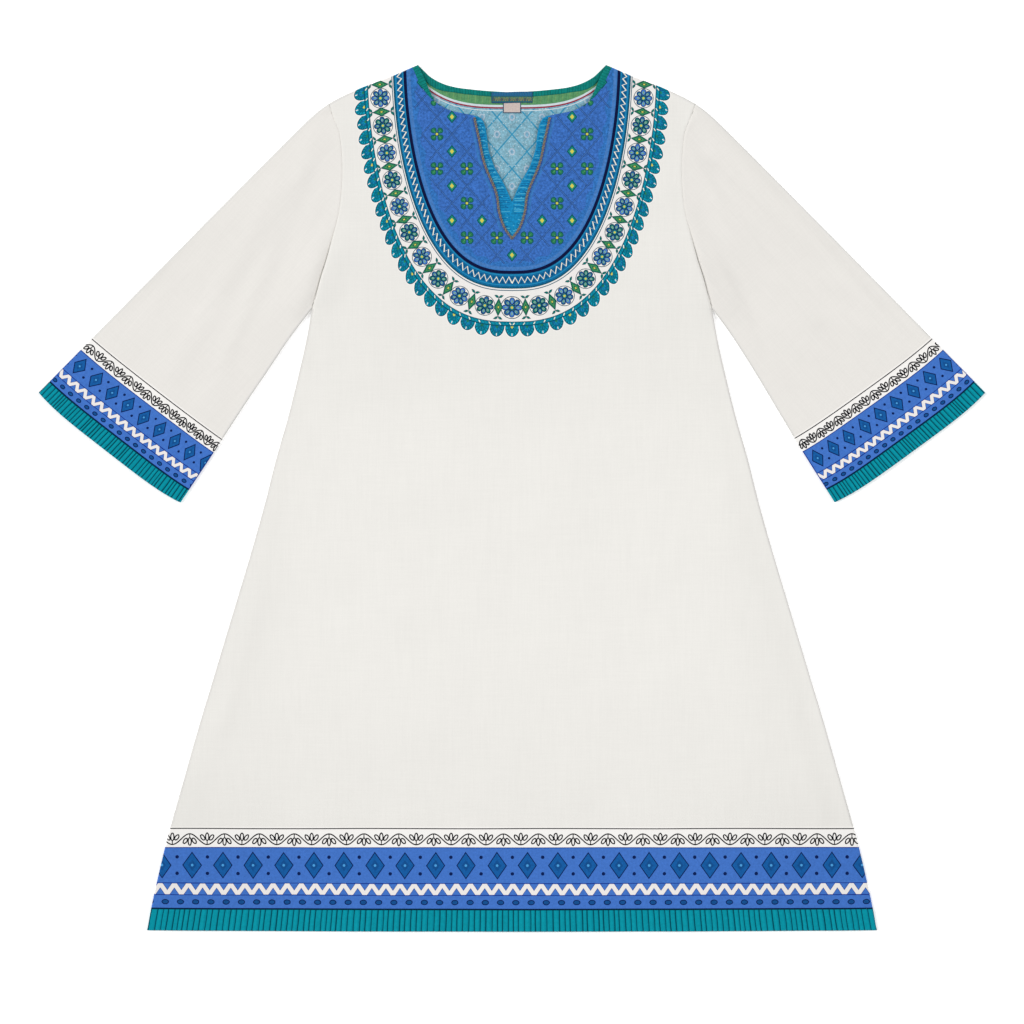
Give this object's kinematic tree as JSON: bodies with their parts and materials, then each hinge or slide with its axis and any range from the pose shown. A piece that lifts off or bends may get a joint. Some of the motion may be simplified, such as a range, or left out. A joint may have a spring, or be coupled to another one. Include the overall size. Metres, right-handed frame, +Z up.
{
  "type": "dashiki tunic dress laid flat",
  "caption": "Flat-laid A-line cotton tunic dress with flared three-quarter sleeves, a slit scoop neck with a printed yoke, and ribbed edging at hem and cuffs.",
  "frame": {"origin": "centre of the bounding box on the surface that the dress lies on", "axes": "+Z up out of the cloth, with the front of the dress upward; +Y from hem to neck; +X towards the wearer's left sleeve"},
  "size_m": [1.0406, 0.9528, 0.0051],
  "materials": {
    "cotton": "matte off-white plain-weave cotton with blue, teal and green prints at neck, hem and cuffs",
    "edging": "matte teal cotton edging with close ribs across it",
    "binding": "matte teal-green folded cotton binding with fine ribs",
    "braid": "brown and gold twisted cord, couched down",
    "label": "woven satin label in blue with a green and gold band, no lettering",
    "tag": "plain pinkish white nylon taffeta, no lettering"
  },
  "bodies": {
    "root": {"front_panel": "cotton", "back_panel": "cotton", "sleeve_left": "cotton", "sleeve_right": "cotton", "hem_edging": "edging", "cuff_edging_left": "edging", "cuff_edging_right": "edging", "neck_binding_back": "binding", "neck_binding_front_left": "binding", "neck_binding_front_right": "binding", "slit_braid": "braid", "neck_label": "label", "care_tag": "tag"}
  },
  "joints": []
}
